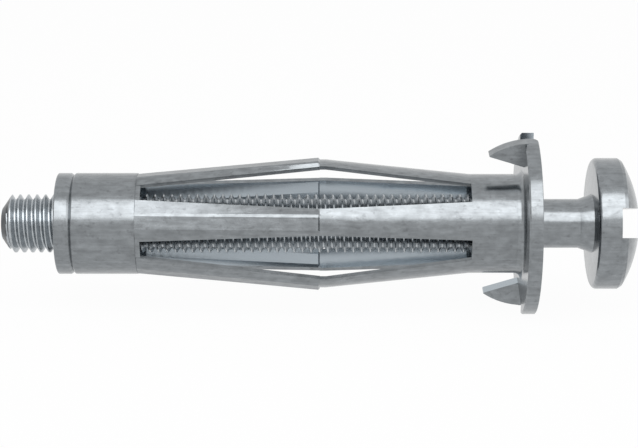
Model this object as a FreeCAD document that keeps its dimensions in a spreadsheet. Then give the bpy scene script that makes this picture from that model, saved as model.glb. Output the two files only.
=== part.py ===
import FreeCAD, Part
import math
import os
import re
import Sketcher

# Metal hollow wall anchor, millimetres.
# The screw's axis is X and its head is on the +X side, +Z is up, and the origin is the centre
# of the flange's rear face, which bears on the wall. Angles round the axis are rolls about X,
# counted from straight up, and a positive roll leans towards -Y.
# Three pieces: the slotted sleeve with its flange and claws, the threaded nut pressed into its
# rear end, and the slotted pan-head screw. The fine threads are left as plain cylinders.

# Driving dimensions
SIZES = [
    ("flange_radius", 9.3),
    ("flange_thickness", 1.38),
    ("rim_rear_bevel", 0.16),
    ("rim_front_bevel", 0.05),
    ("mouth_round", 0.6),
    ("neck_fillet", 0.7),
    ("claw_reach", 3.57),
    ("claw_end_slant", 0.05),
    ("claw_root_height", 2.58),
    ("claw_tip_drop", 1.36),
    ("claw_end_height", 0.1),
    ("claw_arc_radius", 7.4),
    ("claw_bend_radius", 0.8),
    ("claw_root_lap", 0.3),
    ("claw_roll", 10.3),
    ("notch_length", 3.7),
    ("notch_end_height", 0.96),
    ("claw_count", 2),
    ("barrel_radius", 5.075),
    ("wall", 0.4),
    ("slot_front", 5.28),
    ("slot_rear", 38.7),
    ("leg_count", 5),
    ("leg_roll", 2.35),
    ("knee_twist", 1.7),
    ("rear_twist", -0.45),
    ("leg_front_width", 3.88),
    ("leg_knee_width", 2.7),
    ("leg_rear_width", 4.26),
    ("knee_place", 20.6),
    ("knee_lift", 1.555),
    ("knee_flat", 0.65),
    ("rib_width", 1.64),
    ("rib_rear_rise", -0.045),
    ("rib_knee_rise", 0.23),
    ("rib_lead", 0.7),
    ("rib_rear_lift", 0.05),
    ("rib_bevel", 0.16),
    ("rib_shift", 0.2),
    ("rib_end_bevel", 0.15),
    ("knee_edge_dip", 0.05),
    ("rear_edge_dip", 0.14),
    ("ring_drop", 0.08),
    ("collar_swell", 0.1),
    ("collar_front", 39.2),
    ("sleeve_length", 45.75),
    ("groove_width", 0.26),
    ("groove_depth", 0.2),
    ("nut_rim_thickness", 1.6),
    ("nut_rim_round", 0.15),
    ("nut_spigot_length", 5.9),
    ("nut_spigot_gap", 0.03),
    ("nut_lead_in", 0.45),
    ("thread_radius", 3.0),
    ("thread_gap", 0.05),
    ("tip_radius", 1.6),
    ("tip_overhang", 5.7),
    ("thread_end", 1.8),
    ("thread_runout", 0.5),
    ("shank_radius", 2.51),
    ("fixture_gap", 5.84),
    ("cone_length", 1.37),
    ("cone_radius", 3.02),
    ("head_radius", 6.71),
    ("head_side", 2.58),
    ("head_foot_round", 0.5),
    ("head_top_step", 0.36),
    ("head_top_inset", 0.23),
    ("dome_height", 1.84),
    ("drive_width", 3.0),
    ("drive_depth", 2.51),
    ("drive_roll", 76.7),
    ("cut_overrun", 1.0),
]

doc = FreeCAD.newDocument("hollow_wall_anchor")
sheet = doc.addObject("Spreadsheet::Sheet", "Size")
for row, (alias, number) in enumerate(SIZES, start=1):
    sheet.set("A%d" % row, alias)
    sheet.set("B%d" % row, str(number))
    sheet.setAlias("B%d" % row, alias)
doc.recompute()


def value(expression):
    """The number that an expression on the sheet gives now."""
    return float(sheet.evalExpression(expression))


def size(words):
    """Spell the sheet's aliases out: wall becomes Size.wall in an expression."""
    aliases = [alias for alias, number in SIZES]
    return re.sub("[a-z_]+", lambda found: ("Size." if found[0] in aliases else "") + found[0], words)


# Sketch helpers
def plane_of(body, role):
    for feature in body.Origin.OriginFeatures:
        if feature.Role == role:
            return feature
    raise ValueError(role)


def new_body(label):
    body = doc.addObject("PartDesign::Body", label)
    body.Label = label
    return body


def new_sketch(body, name, role, offset=None, roll=None):
    """A sketch on one of the body's planes, moved along its normal or rolled about X."""
    sketch = body.newObject("Sketcher::SketchObject", name)
    sketch.AttachmentSupport = [(plane_of(body, role), "")]
    sketch.MapMode = "FlatFace"
    if roll is not None:
        across = FreeCAD.Vector(0, 0, 1) if role == "YZ_Plane" else FreeCAD.Vector(1, 0, 0)
        turn = FreeCAD.Rotation(across, value(size(roll)))
        sketch.AttachmentOffset = FreeCAD.Placement(FreeCAD.Vector(0, 0, 0), turn)
        sketch.setExpression(".AttachmentOffset.Rotation.Angle", size(roll))
    if offset is not None:
        sketch.setExpression(".AttachmentOffset.Base.z", size(offset))
    return sketch


def bind(sketch, constraint, expression):
    index = sketch.addConstraint(constraint)
    sketch.setExpression("Constraints[%d]" % index, expression)


def hold_point(sketch, edge, end, across, up):
    """Fix one end of an edge at the two distances that its expressions give."""
    rules = (("DistanceX", size(across), -2), ("DistanceY", size(up), -1))
    for kind, expression, axis in rules:
        distance = value(expression)
        if abs(distance) < 1e-9:
            sketch.addConstraint(Sketcher.Constraint("PointOnObject", edge, end, axis))
        elif distance > 0:
            rule = Sketcher.Constraint(kind, -1, 1, edge, end, distance)
            bind(sketch, rule, expression)
        else:
            rule = Sketcher.Constraint(kind, edge, end, -1, 1, -distance)
            bind(sketch, rule, "-(" + expression + ")")


def arc_between(start, end, radius, turn):
    """The short arc from start to end, and whether its own direction is the same."""
    middle = (start + end) * 0.5
    chord = end - start
    rise = math.sqrt(max(radius ** 2 - (chord.Length / 2) ** 2, 0.0))
    aside = FreeCAD.Vector(-chord.y, chord.x, 0).normalize()
    centre = middle + aside * (rise if turn == "left" else -rise)
    first, last = (start, end) if turn == "left" else (end, start)
    circle = Part.Circle(centre, FreeCAD.Vector(0, 0, 1), radius)
    first_angle = math.atan2(first.y - centre.y, first.x - centre.x)
    last_angle = math.atan2(last.y - centre.y, last.x - centre.x)
    if last_angle < first_angle:
        last_angle += 2 * math.pi
    return Part.ArcOfCircle(circle, first_angle, last_angle), turn == "left"


def outline(sketch, corners):
    """Draw a closed outline.

    Each corner is (across, up) or (across, up, turn, radius), where the last two describe an
    arc that leads to the next corner and turns left or right.
    """
    places = [FreeCAD.Vector(value(size(c[0])), value(size(c[1])), 0) for c in corners]
    ends = []
    for index, corner in enumerate(corners):
        start = places[index]
        end = places[(index + 1) % len(places)]
        if len(corner) == 2:
            edge = sketch.addGeometry(Part.LineSegment(start, end), False)
            ends.append((edge, 1, 2))
        else:
            arc, forward = arc_between(start, end, value(size(corner[3])), corner[2])
            edge = sketch.addGeometry(arc, False)
            ends.append((edge, 1, 2) if forward else (edge, 2, 1))
    for index, corner in enumerate(corners):
        edge, first, last = ends[index]
        after, after_first, after_last = ends[(index + 1) % len(ends)]
        sketch.addConstraint(Sketcher.Constraint("Coincident", edge, last, after, after_first))
    for index, corner in enumerate(corners):
        edge, first, last = ends[index]
        hold_point(sketch, edge, first, corner[0], corner[1])
        if len(corner) == 4:
            rule = Sketcher.Constraint("Radius", edge, value(size(corner[3])))
            bind(sketch, rule, size(corner[3]))


# Feature helpers
def revolve(body, name, sketch):
    feature = body.newObject("PartDesign::Revolution", name)
    feature.Profile = sketch
    feature.ReferenceAxis = (sketch, ["H_Axis"])
    feature.Angle = 360
    doc.recompute()
    return feature


def loft(body, name, sketches):
    feature = body.newObject("PartDesign::AdditiveLoft", name)
    feature.Profile = sketches[0]
    feature.Sections = sketches[1:]
    feature.Ruled = True
    doc.recompute()
    return feature


def repeat_round_axis(body, name, features, count):
    pattern = body.newObject("PartDesign::PolarPattern", name)
    pattern.Originals = features
    pattern.Axis = (plane_of(body, "X_Axis"), [""])
    pattern.Angle = 360
    pattern.setExpression("Occurrences", size(count))
    body.Tip = pattern
    doc.recompute()
    return pattern


# Sizes that follow from others
COLLAR_RADIUS = "( barrel_radius + collar_swell )"
CLAW_ROOT = "( flange_radius - claw_root_height )"
CLAW_TIP = "( flange_radius - claw_tip_drop )"
CLAW_END = "( " + CLAW_TIP + " - claw_end_height )"
NOTCH_END = "( sqrt( flange_radius ^ 2 - notch_length ^ 2 ) - notch_end_height )"


# Sleeve
LEG_SAG = "sqrt( barrel_radius ^ 2 - ( {w} / 2 ) ^ 2 )"
INNER_SHARE = "( barrel_radius - wall ) / barrel_radius"


def plain_section(sketch, width, lift):
    """A leg's cross-section where it keeps the barrel's curve, its middle on the up axis."""
    outer_side = width + " / 2"
    outer_up = lift + " + " + LEG_SAG.format(w=width)
    inner_side = outer_side + " * " + INNER_SHARE
    inner_up = lift + " + " + LEG_SAG.format(w=width) + " * " + INNER_SHARE
    outline(sketch, [
        ("-( " + outer_side + " )", outer_up, "right", "barrel_radius"),
        (outer_side, outer_up),
        (inner_side, inner_up, "left", "barrel_radius - wall"),
        ("-( " + inner_side + " )", inner_up),
    ])


def rib_side(width, lift, rise, dip, top_side):
    """One side of a ribbed cross-section, from its flat top round the leg's edge to its inner face."""
    edge_side = width + " / 2"
    edge_up = lift + " + " + LEG_SAG.format(w=width) + " - " + dip
    inner_edge_side = edge_side + " * " + INNER_SHARE
    inner_edge_up = lift + " + " + LEG_SAG.format(w=width) + " * " + INNER_SHARE + " - " + dip
    top_up = lift + " + barrel_radius + " + rise
    slope = "atan( ( {t} - ( {e} ) ) / ( {s} - {b} ) )".format(t=top_up, e=edge_up, s=edge_side, b=top_side)
    bevel_side = top_side + " + rib_bevel * cos( " + slope + " )"
    bevel_up = top_up + " - rib_bevel * sin( " + slope + " )"
    inner_top_side = top_side + " - wall * tan( " + slope + " / 2 )"
    inner_top_up = top_up + " - wall"
    return [
        (top_side + " - rib_bevel", top_up),
        (bevel_side, bevel_up),
        (edge_side, edge_up),
        (inner_edge_side, inner_edge_up),
        (inner_top_side, inner_top_up),
    ]


def ribbed_section(sketch, width, lift, rise, dip):
    """A leg's cross-section where it is pressed into a flat-topped rib, set a little to one side."""
    right = rib_side(width, lift, rise, dip, "( rib_width / 2 - rib_shift )")
    left = rib_side(width, lift, rise, dip, "( rib_width / 2 + rib_shift )")
    outline(sketch, right + [("-( " + side + " )", up) for side, up in reversed(left)])


def make_sleeve():
    body = new_body("sleeve")

    # Flange and plain front barrel, drawn from one sheet
    front = new_sketch(body, "front_profile", "XZ_Plane")
    outline(front, [
        ("- slot_front", "barrel_radius - wall"),
        ("- slot_front", "barrel_radius"),
        ("- neck_fillet", "barrel_radius", "left", "neck_fillet"),
        ("0", "barrel_radius + neck_fillet"),
        ("0", "flange_radius - rim_rear_bevel"),
        ("rim_rear_bevel", "flange_radius"),
        ("flange_thickness - rim_front_bevel", "flange_radius"),
        ("flange_thickness", "flange_radius - rim_front_bevel"),
        ("flange_thickness", "barrel_radius - wall + mouth_round", "left", "mouth_round"),
        ("flange_thickness - mouth_round", "barrel_radius - wall"),
    ])
    revolve(body, "front_barrel", front)

    # One leg: a plain front half that rises to the knee, and a ribbed rear half
    knee_roll = "leg_roll + knee_twist"
    leg_end = new_sketch(body, "leg_front_end", "YZ_Plane", "- slot_front", "leg_roll")
    plain_section(leg_end, "leg_front_width", "0")
    knee_front = new_sketch(body, "knee_front", "YZ_Plane", "- ( knee_place - knee_flat )", knee_roll)
    plain_section(knee_front, "leg_knee_width", "knee_lift")
    knee_back = new_sketch(body, "knee_back", "YZ_Plane", "- knee_place", knee_roll)
    plain_section(knee_back, "leg_knee_width", "knee_lift")
    front_half = loft(body, "leg_front_half", [leg_end, knee_front, knee_back])

    rib_end = new_sketch(body, "rib_end", "YZ_Plane", "- knee_place", knee_roll)
    ribbed_section(rib_end, "leg_knee_width", "knee_lift", "( rib_knee_rise - rib_end_bevel )", "knee_edge_dip")
    rib_knee = new_sketch(body, "rib_at_knee", "YZ_Plane", "- ( knee_place + rib_end_bevel )", knee_roll)
    ribbed_section(rib_knee, "leg_knee_width", "knee_lift", "rib_knee_rise", "knee_edge_dip")
    rib_rear = new_sketch(body, "rib_at_collar", "YZ_Plane", "- ( slot_rear + rib_lead )", "leg_roll + rear_twist")
    ribbed_section(rib_rear, "leg_rear_width", "rib_rear_lift", "rib_rear_rise", "rear_edge_dip")
    rear_half = loft(body, "leg_rear_half", [rib_end, rib_knee, rib_rear])
    repeat_round_axis(body, "legs", [front_half, rear_half], "leg_count")

    # Rear collar, swelled slightly over the nut, with half of the groove at its end
    rear = new_sketch(body, "collar_profile", "XZ_Plane")
    outline(rear, [
        ("- sleeve_length", "barrel_radius - wall"),
        ("- sleeve_length", COLLAR_RADIUS + " - groove_depth"),
        ("- ( sleeve_length - groove_width )", COLLAR_RADIUS),
        ("- collar_front", COLLAR_RADIUS),
        ("- collar_front", "barrel_radius - ring_drop"),
        ("- slot_rear", "barrel_radius - ring_drop"),
        ("- slot_rear", "barrel_radius - wall"),
    ])
    revolve(body, "rear_collar", rear)

    # Notches that the claws were cut from: each opens at the rim, its start on the fold
    notch = new_sketch(body, "notch_outline", "YZ_Plane", None, "claw_roll")
    outline(notch, [
        ("0", CLAW_ROOT),
        ("0", "flange_radius + cut_overrun"),
        ("notch_length", "flange_radius + cut_overrun"),
        ("notch_length", NOTCH_END),
    ])
    pocket = body.newObject("PartDesign::Pocket", "notch")
    pocket.Profile = notch
    pocket.Type = "Length"
    pocket.Reversed = True
    pocket.setExpression("Length", size("flange_thickness"))
    doc.recompute()

    # Outside of the bends, rounded along the start of each notch
    bend = new_sketch(body, "bend_outline", "XY_Plane", None, "claw_roll")
    bend.setExpression(".AttachmentOffset.Base.y", size("- " + CLAW_ROOT + " * sin( claw_roll )"))
    bend.setExpression(".AttachmentOffset.Base.z", size(CLAW_ROOT + " * cos( claw_roll )"))
    outline(bend, [
        ("flange_thickness", "0"),
        ("flange_thickness - claw_bend_radius", "0", "right", "claw_bend_radius"),
        ("flange_thickness", "- claw_bend_radius"),
    ])
    rounding = body.newObject("PartDesign::Pocket", "bend_rounding")
    rounding.Profile = bend
    rounding.Type = "Length"
    rounding.Reversed = True
    rounding.setExpression("Length", size("claw_root_height + cut_overrun"))
    doc.recompute()
    repeat_round_axis(body, "notches", [pocket, rounding], "claw_count")

    # Claws: the blanks bent back a quarter turn, their far sides flush with the notches' starts
    tip_place = "- claw_reach"
    root_rise = "flange_radius - rim_rear_bevel / 4"
    claw = new_sketch(body, "claw_outline", "XZ_Plane", None, "claw_roll")
    outline(claw, [
        ("claw_root_lap", CLAW_ROOT),
        ("0", CLAW_ROOT),
        (tip_place + " + claw_end_slant", CLAW_END),
        (tip_place, CLAW_TIP, "right", "claw_arc_radius"),
        ("0", root_rise),
        ("claw_root_lap", root_rise),
    ])
    pad = body.newObject("PartDesign::Pad", "claw")
    pad.Profile = claw
    pad.setExpression("Length", size("flange_thickness"))
    doc.recompute()
    repeat_round_axis(body, "claws", [pad], "claw_count")
    return body


# Nut
def make_nut():
    body = new_body("nut")
    profile = new_sketch(body, "nut_profile", "XZ_Plane")
    bore = "thread_radius + thread_gap"
    spigot = "barrel_radius - wall - nut_spigot_gap"
    rim_front = "- ( sleeve_length + groove_width )"
    rim_rear = "- ( sleeve_length + nut_rim_thickness )"
    outline(profile, [
        (rim_rear, bore + " + nut_lead_in"),
        (rim_rear, COLLAR_RADIUS + " - nut_rim_round", "right", "nut_rim_round"),
        (rim_rear + " + nut_rim_round", COLLAR_RADIUS),
        (rim_front, COLLAR_RADIUS),
        ("- sleeve_length", COLLAR_RADIUS + " - groove_depth"),
        ("- sleeve_length", spigot),
        ("- ( sleeve_length - nut_spigot_length )", spigot),
        ("- ( sleeve_length - nut_spigot_length )", bore + " + nut_lead_in"),
        ("- ( sleeve_length - nut_spigot_length + nut_lead_in )", bore),
        (rim_rear + " + nut_lead_in", bore),
    ])
    revolve(body, "nut_turned", profile)
    return body


# Screw
def make_screw():
    body = new_body("screw")
    tip = "- ( sleeve_length + nut_rim_thickness + tip_overhang )"
    seat = "flange_thickness + fixture_gap"
    side_end = seat + " + head_side"
    dome_start = side_end + " + head_top_step"
    dome_foot = "head_radius - head_top_inset"
    dome_radius = "( ( " + dome_foot + " ) ^ 2 + dome_height ^ 2 ) / ( 2 * dome_height )"
    profile = new_sketch(body, "screw_profile", "XZ_Plane")
    outline(profile, [
        (tip, "0"),
        (tip, "tip_radius"),
        (tip + " + thread_radius - tip_radius", "thread_radius"),
        ("- thread_end", "thread_radius"),
        ("- thread_end + thread_runout", "shank_radius"),
        (seat + " - cone_length", "shank_radius"),
        (seat, "cone_radius"),
        (seat, "head_radius - head_foot_round", "right", "head_foot_round"),
        (seat + " + head_foot_round", "head_radius"),
        (side_end, "head_radius"),
        (dome_start, dome_foot, "right", dome_radius),
        (dome_start + " + dome_height", "0"),
    ])
    revolve(body, "screw_turned", profile)

    # Slot across the head, open at both sides
    slot = new_sketch(body, "drive_outline", "XZ_Plane", None, "drive_roll - 90")
    half = "drive_width / 2"
    floor = dome_start + " + dome_height - drive_depth"
    top = dome_start + " + dome_height + cut_overrun"
    outline(slot, [
        (floor, "- ( " + half + " )"),
        (floor, half),
        (top, half),
        (top, "- ( " + half + " )"),
    ])
    pocket = body.newObject("PartDesign::Pocket", "drive_slot")
    pocket.Profile = slot
    pocket.Type = "Length"
    pocket.Midplane = True
    pocket.setExpression("Length", size("2 * head_radius + 2 * cut_overrun"))
    doc.recompute()
    return body


# Build, check and write
pieces = [make_sleeve(), make_nut(), make_screw()]
doc.recompute()
for item in doc.Objects:
    troubled = [word for word in item.State if word in ("Invalid", "Error")]
    if troubled:
        raise RuntimeError(item.Label + ": " + ", ".join(troubled))
os.makedirs("parts", exist_ok=True)
for piece in pieces:
    shape = piece.Shape
    if shape.isNull() or not shape.isValid() or len(shape.Solids) != 1:
        raise RuntimeError(piece.Label + ": not one valid solid")
    shape.exportStep("parts/" + piece.Label + ".step")
    box = shape.BoundBox
    print("%s: %.2f mm3, x %.2f to %.2f, y %.2f to %.2f, z %.2f to %.2f" % (
        piece.Label, shape.Volume, box.XMin, box.XMax, box.YMin, box.YMax, box.ZMin, box.ZMax))
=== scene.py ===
import math

import bmesh
import bpy
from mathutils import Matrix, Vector


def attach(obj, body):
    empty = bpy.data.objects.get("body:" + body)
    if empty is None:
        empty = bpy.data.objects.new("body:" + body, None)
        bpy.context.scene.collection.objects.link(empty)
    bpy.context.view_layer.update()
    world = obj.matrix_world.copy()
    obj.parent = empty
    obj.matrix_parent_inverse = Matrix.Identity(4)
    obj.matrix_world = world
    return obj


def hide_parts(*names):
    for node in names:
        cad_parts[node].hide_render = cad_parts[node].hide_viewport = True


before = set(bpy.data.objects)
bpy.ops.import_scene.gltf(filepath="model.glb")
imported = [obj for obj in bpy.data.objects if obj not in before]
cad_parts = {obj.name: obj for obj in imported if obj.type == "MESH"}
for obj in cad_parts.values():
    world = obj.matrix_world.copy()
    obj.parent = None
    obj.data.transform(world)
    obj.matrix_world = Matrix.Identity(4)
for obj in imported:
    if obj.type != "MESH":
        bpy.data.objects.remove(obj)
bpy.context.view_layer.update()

# Metal hollow wall anchor: the looks. Metres, +X along the screw towards its head, +Z up.
# The sleeve and the nut are the solids with zinc-plated finishes. The screw is made again here
# with its helical thread, because the solid's thread is a plain cylinder.

MM = 0.001

# Camera: the distance is estimated from the photograph, and the elevation is a choice of frame,
# because the object looks nearly the same however it is turned about its axis
VIEW_ELEVATION = math.radians(13.0)
VIEW_DISTANCE = 205.2 * MM
VIEW_CENTRE = Vector((-20.67 * MM, 0.0, 0.0))
VIEW_DROP = 0.06 * MM
LENS = 112.85
SENSOR = 36.0

# Screw, as in the part's source
TIP = -53.05 * MM
TIP_RADIUS = 1.6 * MM
TIP_SLOPE = 1.44
TIP_BEVEL = 0.9 * MM
THREAD_RADIUS = 2.98 * MM
ROOT_RADIUS = 2.5 * MM
PITCH = 0.8653 * MM
CREST_PLACE = -50.43 * MM
CREST_ROLL = math.radians(103.0)
THREAD_END = -2.0 * MM
RUNOUT = 0.6 * MM
SHANK_RADIUS = 2.51 * MM
CONE_START = 5.85 * MM
SEAT = 7.22 * MM
CONE_RADIUS = 3.02 * MM
HEAD_RADIUS = 6.71 * MM
FOOT_ROUND = 0.5 * MM
SIDE_END = 9.8 * MM
DOME_START = 10.16 * MM
DOME_FOOT = 6.48 * MM
DOME_HEIGHT = 1.84 * MM
SLOT_WIDTH = 3.0 * MM
SLOT_FLOOR = 9.49 * MM
SLOT_ROLL = math.radians(13.3)
SEGMENTS = 96
THREAD_SHARES = (0.0, 0.07, 0.16, 0.25, 0.34, 0.42, 0.5, 0.58, 0.66, 0.75, 0.84, 0.93)
CREST_HALF = 0.07
ROOT_START = 0.42
TIP_FACING = -0.3
SMOOTH_BELOW = 18
MERGE_WITHIN = 0.0005 * MM
PLACE_WITHIN = 0.001 * MM

FLOOR_LEVEL = -9.3 * MM
FLOOR_HALF = 4.0
FLOOR_GLOW = 0.96
WORLD_LIGHT = 0.55

# Zinc plating. The inward faces and the thread are given lighter colours than the outside, as painted light
# that stands in for the light bounced onto them
COOL = (0.895, 0.955, 1.0)
# The inward faces' colour is painted light: lighter than the zinc, in place of light bounced inside the
# sleeve
PAINTED_INSIDE_LIGHT = (0.38, 0.425, 0.46)


# Meshes
def mesh_object(name, points, faces):
    mesh = bpy.data.meshes.new(name)
    mesh.from_pydata(points, [], faces)
    made = bpy.data.objects.new(name, mesh)
    bpy.context.scene.collection.objects.link(made)
    return made


def ring_point(x, radius, angle):
    """A point at an angle counted from the near side, -Y, towards the top."""
    return (x, -radius * math.cos(angle), radius * math.sin(angle))


def smooth_by_angle(made, degrees):
    for face in made.data.polygons:
        face.use_smooth = True
    made.data.set_sharp_from_angle(angle=math.radians(degrees))


def arc_points(centre, radius, start, end, steps):
    """Points of a profile's arc, angles counted from +X towards outwards."""
    found = []
    for step in range(steps + 1):
        angle = start + (end - start) * step / steps
        found.append((centre[0] + radius * math.cos(angle), centre[1] + radius * math.sin(angle)))
    return found


def head_profile():
    """The screw from the end of its thread to the top of its dome, as (place, radius)."""
    corner = (SEAT + FOOT_ROUND, HEAD_RADIUS - FOOT_ROUND)
    dome_radius = (DOME_FOOT ** 2 + DOME_HEIGHT ** 2) / (2 * DOME_HEIGHT)
    dome_centre = (DOME_START + DOME_HEIGHT - dome_radius, 0.0)
    dome_edge = math.asin(DOME_FOOT / dome_radius)
    profile = [(THREAD_END + RUNOUT, SHANK_RADIUS), (CONE_START, SHANK_RADIUS), (SEAT, CONE_RADIUS)]
    profile += arc_points(corner, FOOT_ROUND, math.radians(180), math.radians(90), 8)
    profile += [(SIDE_END, HEAD_RADIUS)]
    profile += arc_points(dome_centre, dome_radius, dome_edge, dome_edge / 24, 23)
    profile += [(DOME_START + DOME_HEIGHT, 0.0)]
    return profile


def thread_height(turn):
    """Radius of the thread at a share of its pitch past a crest."""
    away = abs((turn + 0.5) % 1.0 - 0.5)
    share = min(max((away - CREST_HALF) / (ROOT_START - CREST_HALF), 0.0), 1.0)
    return THREAD_RADIUS - (THREAD_RADIUS - ROOT_RADIUS) * share


def envelope(x):
    """The largest radius that the thread may have at a place: the tip's bevel and the run-out."""
    at_tip = TIP_RADIUS + (x - TIP) * TIP_SLOPE
    share = min(max((THREAD_END + RUNOUT - x) / RUNOUT, 0.0), 1.0)
    at_end = SHANK_RADIUS + (THREAD_RADIUS - SHANK_RADIUS) * share
    return min(at_tip, at_end)


def screw_thread(end):
    """The thread, wound along the axis. Its last column meets the first one a pitch further on."""
    first = math.floor((TIP - CREST_PLACE) / PITCH) - 2
    last = math.ceil((end - CREST_PLACE) / PITCH) + 2
    rows = [pitch + share for pitch in range(first, last) for share in THREAD_SHARES]
    width = SEGMENTS + 1
    points = []
    for row in rows:
        for step in range(width):
            angle = 2 * math.pi * step / SEGMENTS
            lead = -PITCH * (angle - CREST_ROLL) / (2 * math.pi)
            x = min(max(CREST_PLACE + PITCH * row + lead, TIP), end)
            radius = min(thread_height(row), envelope(x))
            points.append(ring_point(x, radius, angle))
    faces = []
    for row in range(len(rows) - 1):
        for step in range(SEGMENTS):
            corner = row * width + step
            faces.append((corner, corner + 1, corner + width + 1, corner + width))
    return mesh_object("screw_thread", points, faces)


def screw_head():
    """The neck, cone and head, closed at both ends, with the driver slot cut."""
    profile = head_profile()
    points = []
    for x, radius in profile[:-1]:
        for step in range(SEGMENTS):
            points.append(ring_point(x, radius, 2 * math.pi * step / SEGMENTS))
    faces = []
    for row in range(len(profile) - 2):
        here = row * SEGMENTS
        beyond = (row + 1) * SEGMENTS
        for step in range(SEGMENTS):
            after = (step + 1) % SEGMENTS
            faces.append((here + step, here + after, beyond + after, beyond + step))
    points.append((profile[-1][0], 0.0, 0.0))
    top = len(points) - 1
    rim = (len(profile) - 2) * SEGMENTS
    for step in range(SEGMENTS):
        faces.append((rim + step, rim + (step + 1) % SEGMENTS, top))
    base = len(points)
    points.append((profile[0][0], 0.0, 0.0))
    for step in range(SEGMENTS):
        faces.append(((step + 1) % SEGMENTS, step, base))
    head = mesh_object("screw_head", points, faces)
    cut_slot(head)
    return head


def make_screw():
    end = THREAD_END + RUNOUT
    thread = screw_thread(end)
    head = screw_head()
    made = bmesh.new()
    made.from_mesh(thread.data)
    made.from_mesh(head.data)
    bmesh.ops.remove_doubles(made, verts=made.verts, dist=MERGE_WITHIN)
    inner = [v for v in made.verts if abs(v.co.x - end) < PLACE_WITHIN and v.co.yz.length < 10 * PLACE_WITHIN]
    bmesh.ops.delete(made, geom=inner, context="VERTS")
    open_edges = [e for e in made.edges if e.is_boundary]
    tip_loop = [e for e in open_edges if all(abs(v.co.x - TIP) < PLACE_WITHIN for v in e.verts)]
    bmesh.ops.contextual_create(made, geom=tip_loop)
    bmesh.ops.recalc_face_normals(made, faces=made.faces)
    screw = bpy.data.objects.new("machine_screw", bpy.data.meshes.new("machine_screw"))
    made.to_mesh(screw.data)
    made.free()
    bpy.context.scene.collection.objects.link(screw)
    bpy.data.objects.remove(thread)
    bpy.data.objects.remove(head)
    smooth_by_angle(screw, SMOOTH_BELOW)
    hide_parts("screw")
    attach(screw, "screw")
    return screw


def cut_slot(head):
    """Cut the driver slot straight across the head."""
    half = SLOT_WIDTH / 2
    reach = HEAD_RADIUS + 1 * MM
    top = DOME_START + DOME_HEIGHT + 1 * MM
    corners = []
    for x in (SLOT_FLOOR, top):
        for along in (-reach, reach):
            for across in (-half, half):
                corners.append((x, along, across))
    sides = [(0, 1, 3, 2), (4, 6, 7, 5), (0, 4, 5, 1), (2, 3, 7, 6), (0, 2, 6, 4), (1, 5, 7, 3)]
    cutter = mesh_object("slot_cutter", corners, sides)
    cutter.rotation_euler = (-SLOT_ROLL, 0, 0)
    cut = head.modifiers.new("slot", "BOOLEAN")
    cut.operation = "DIFFERENCE"
    cut.solver = "EXACT"
    cut.object = cutter
    bpy.context.view_layer.update()
    result = bpy.data.meshes.new_from_object(head.evaluated_get(bpy.context.evaluated_depsgraph_get()))
    head.modifiers.clear()
    head.data = result
    bpy.data.objects.remove(cutter)


# Materials
def node(tree, kind, **settings):
    made = tree.nodes.new(kind)
    for name, setting in settings.items():
        setattr(made, name, setting)
    return made


def noise(tree, place, scale, detail, stretch):
    mapping = node(tree, "ShaderNodeMapping")
    mapping.inputs["Scale"].default_value = stretch
    made = node(tree, "ShaderNodeTexNoise")
    made.inputs["Scale"].default_value = scale
    made.inputs["Detail"].default_value = detail
    tree.links.new(place.outputs["Object"], mapping.inputs["Vector"])
    tree.links.new(mapping.outputs["Vector"], made.inputs["Vector"])
    return made


def ramp(tree, source, stops):
    made = node(tree, "ShaderNodeValToRGB")
    while len(made.color_ramp.elements) < len(stops):
        made.color_ramp.elements.new(0.5)
    for element, (place, colour) in zip(made.color_ramp.elements, stops):
        element.position = place
        element.color = (*colour, 1.0)
    tree.links.new(source, made.inputs["Fac"])
    return made


def grey(level, tint=(1.0, 1.0, 1.0)):
    return tuple(level * part for part in tint)


def mix_colours(tree, kind, share, first, second):
    made = node(tree, "ShaderNodeMix", data_type="RGBA", blend_type=kind)
    made.inputs["Factor"].default_value = share
    tree.links.new(first, made.inputs["A"])
    tree.links.new(second, made.inputs["B"])
    return made


def facing_axis(tree, place):
    """1 on the faces that look inwards at the axis, 0 on the outer ones: where the painted inside light goes.
    """
    outwards = node(tree, "ShaderNodeVectorMath", operation="MULTIPLY")
    outwards.inputs[1].default_value = (0.0, 1.0, 1.0)
    tree.links.new(place.outputs["Object"], outwards.inputs[0])
    along = node(tree, "ShaderNodeVectorMath", operation="DOT_PRODUCT")
    tree.links.new(outwards.outputs["Vector"], along.inputs[0])
    tree.links.new(place.outputs["Normal"], along.inputs[1])
    share = node(tree, "ShaderNodeMapRange")
    share.inputs["From Min"].default_value = -0.5 * MM
    share.inputs["From Max"].default_value = -2.5 * MM
    tree.links.new(along.outputs["Value"], share.inputs["Value"])
    return share


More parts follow.
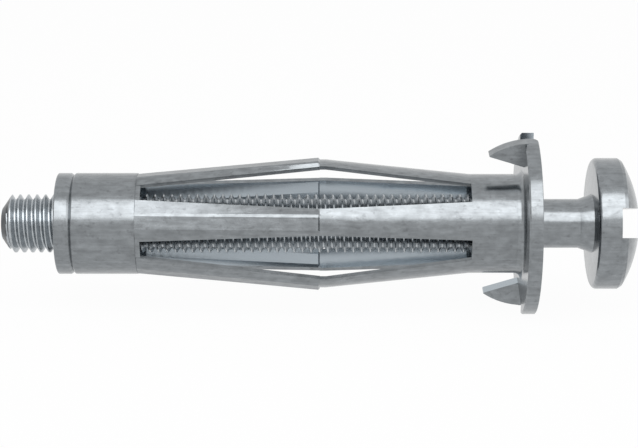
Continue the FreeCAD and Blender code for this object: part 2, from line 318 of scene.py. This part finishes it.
def zinc(name, dark, light, tint, roughness, grain, inner=None):
    """Bright zinc plating: brushed along the axis, with soft mottling and small specks. Given inner, the
    faces that look at the axis take that lighter colour instead, as painted light.
    """
    material = bpy.data.materials.new(name)
    material.use_nodes = True
    tree = material.node_tree
    shader = tree.nodes["Principled BSDF"]
    place = node(tree, "ShaderNodeTexCoord")
    brushed = noise(tree, place, 3600.0, 4.0, (0.05, 1.0, 1.0))
    mottled = noise(tree, place, 1500.0, 6.0, (0.6, 1.0, 1.0))
    specks = noise(tree, place, 2600.0, 3.0, (0.7, 1.0, 1.0))
    base = ramp(tree, mottled.outputs["Fac"], [(0.3, grey(dark, tint)), (0.7, grey(light, tint))])
    lines = ramp(tree, brushed.outputs["Fac"], [(0.3, grey(0.82)), (0.7, grey(1.0))])
    spots = ramp(tree, specks.outputs["Fac"], [(0.28, grey(0.72)), (0.42, grey(1.0))])
    colour = mix_colours(tree, "MULTIPLY", 1.0, base.outputs["Color"], lines.outputs["Color"])
    colour = mix_colours(tree, "MULTIPLY", grain, colour.outputs["Result"], spots.outputs["Color"])
    # Painted light: the faces that look at the axis get the lighter inner colour, in place of light bounced
    # inside
    if inner:
        painted_light = node(tree, "ShaderNodeMix", data_type="RGBA")
        painted_light.inputs["B"].default_value = (*inner, 1.0)
        tree.links.new(facing_axis(tree, place).outputs["Result"], painted_light.inputs["Factor"])
        tree.links.new(colour.outputs["Result"], painted_light.inputs["A"])
        colour = painted_light
    tree.links.new(colour.outputs["Result"], shader.inputs["Base Color"])
    rough = node(tree, "ShaderNodeMapRange")
    rough.inputs["To Min"].default_value = roughness * 0.7
    rough.inputs["To Max"].default_value = roughness * 1.3
    tree.links.new(brushed.outputs["Fac"], rough.inputs["Value"])
    tree.links.new(rough.outputs["Result"], shader.inputs["Roughness"])
    bump = node(tree, "ShaderNodeBump")
    bump.inputs["Strength"].default_value = 0.4
    bump.inputs["Distance"].default_value = 0.0045 * MM
    tree.links.new(mottled.outputs["Fac"], bump.inputs["Height"])
    tree.links.new(bump.outputs["Normal"], shader.inputs["Normal"])
    shader.inputs["Metallic"].default_value = 1.0
    return material


def dress(made, *materials):
    made.data.materials.clear()
    for material in materials:
        made.data.materials.append(material)


def mark_thread(screw):
    """Give the thread's faces the second material, a lighter copy of the zinc that paints light onto the
    thread, and those of the cut tip the third.
    """
    for face in screw.data.polygons:
        if face.center.x < TIP + TIP_BEVEL and face.normal.x < TIP_FACING:
            face.material_index = 2
        elif face.center.x < THREAD_END:
            face.material_index = 1


# Surroundings
def white_where_seen(tree, shader_in, light_strength):
    """A world that is plain white where it is seen or mirrored, and softer as a light."""
    path = node(tree, "ShaderNodeLightPath")
    seen = node(tree, "ShaderNodeMath", operation="MAXIMUM")
    either = node(tree, "ShaderNodeMath", operation="MAXIMUM")
    tree.links.new(path.outputs["Is Camera Ray"], seen.inputs[0])
    tree.links.new(path.outputs["Is Glossy Ray"], seen.inputs[1])
    tree.links.new(seen.outputs[0], either.inputs[0])
    tree.links.new(path.outputs["Is Transmission Ray"], either.inputs[1])
    strength = node(tree, "ShaderNodeMapRange")
    strength.inputs["To Min"].default_value = light_strength
    strength.inputs["To Max"].default_value = 1.0
    tree.links.new(either.outputs[0], strength.inputs["Value"])
    tree.links.new(strength.outputs["Result"], shader_in.inputs["Strength"])


def make_world():
    world = bpy.data.worlds.new("studio")
    bpy.context.scene.world = world
    world.use_nodes = True
    tree = world.node_tree
    background = tree.nodes["Background"]
    background.inputs["Color"].default_value = (1, 1, 1, 1)
    white_where_seen(tree, background, WORLD_LIGHT)


def make_floor():
    ends = ((-1, -1), (1, -1), (1, 1), (-1, 1))
    corners = [(FLOOR_HALF * x, FLOOR_HALF * y, FLOOR_LEVEL) for x, y in ends]
    floor = mesh_object("floor", corners, [(0, 1, 2, 3)])
    material = bpy.data.materials.new("floor_white")
    material.use_nodes = True
    tree = material.node_tree
    tree.nodes.remove(tree.nodes["Principled BSDF"])
    output = tree.nodes["Material Output"]
    matte = node(tree, "ShaderNodeBsdfDiffuse")
    matte.inputs["Color"].default_value = (0.8, 0.8, 0.8, 1)
    glow = node(tree, "ShaderNodeEmission")
    glow.inputs["Color"].default_value = (1, 1, 1, 1)
    path = node(tree, "ShaderNodeLightPath")
    share = node(tree, "ShaderNodeMath", operation="MULTIPLY")
    share.inputs[1].default_value = FLOOR_GLOW
    mixed = node(tree, "ShaderNodeMixShader")
    seen = node(tree, "ShaderNodeMath", operation="MAXIMUM")
    tree.links.new(path.outputs["Is Camera Ray"], seen.inputs[0])
    tree.links.new(path.outputs["Is Glossy Ray"], seen.inputs[1])
    tree.links.new(seen.outputs[0], share.inputs[0])
    tree.links.new(share.outputs[0], mixed.inputs[0])
    tree.links.new(matte.outputs[0], mixed.inputs[1])
    tree.links.new(glow.outputs[0], mixed.inputs[2])
    tree.links.new(mixed.outputs[0], output.inputs["Surface"])
    floor.data.materials.append(material)


def soft_lamp(name, place, target, width, height, power):
    data = bpy.data.lights.new(name, "AREA")
    data.shape = "RECTANGLE"
    data.size = width
    data.size_y = height
    data.energy = power
    lamp = bpy.data.objects.new(name, data)
    bpy.context.scene.collection.objects.link(lamp)
    lamp.location = place
    lamp.rotation_mode = "QUATERNION"
    lamp.rotation_quaternion = (Vector(target) - Vector(place)).to_track_quat("-Z", "Y")
    return lamp


def make_lamps():
    middle = tuple(VIEW_CENTRE)
    soft_lamp("key_softbox", (-0.03, -0.36, 0.355), middle, 0.9, 0.4, 2.5)
    soft_lamp("side_softbox", (0.5, -0.1, 0.2), middle, 0.25, 0.3, 0.35)


def make_camera():
    data = bpy.data.cameras.new("camera")
    data.lens = LENS
    data.sensor_width = SENSOR
    data.sensor_fit = "HORIZONTAL"
    data.clip_start = 0.01
    data.clip_end = 20.0
    camera = bpy.data.objects.new("camera", data)
    bpy.context.scene.collection.objects.link(camera)
    back = Vector((0.0, -math.cos(VIEW_ELEVATION), math.sin(VIEW_ELEVATION)))
    up = Vector((0.0, math.sin(VIEW_ELEVATION), math.cos(VIEW_ELEVATION)))
    camera.location = VIEW_CENTRE + back * VIEW_DISTANCE - up * VIEW_DROP
    camera.rotation_mode = "QUATERNION"
    camera.rotation_quaternion = (-back).to_track_quat("-Z", "Y")
    bpy.context.scene.camera = camera


make_camera()
make_world()
make_floor()
make_lamps()
screw = make_screw()
# The sleeve's inward faces carry painted light, lighter than its outside
dress(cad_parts["sleeve"], zinc("sleeve_zinc_painted_inside_light", 0.24, 0.33, COOL, 0.22, 0.8, PAINTED_INSIDE_LIGHT))
dress(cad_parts["nut"], zinc("nut_zinc", 0.25, 0.34, COOL, 0.22, 0.7))
# The thread's material is a lighter copy of the same zinc: painted light on the thread
dress(screw, zinc("screw_zinc", 0.25, 0.34, COOL, 0.2, 0.7), zinc("thread_zinc_painted_lighter", 0.42, 0.55, COOL, 0.28, 0.4),
      zinc("tip_zinc", 0.06, 0.11, COOL, 0.3, 0.3))
mark_thread(screw)
bpy.context.scene.view_settings.view_transform = "Standard"
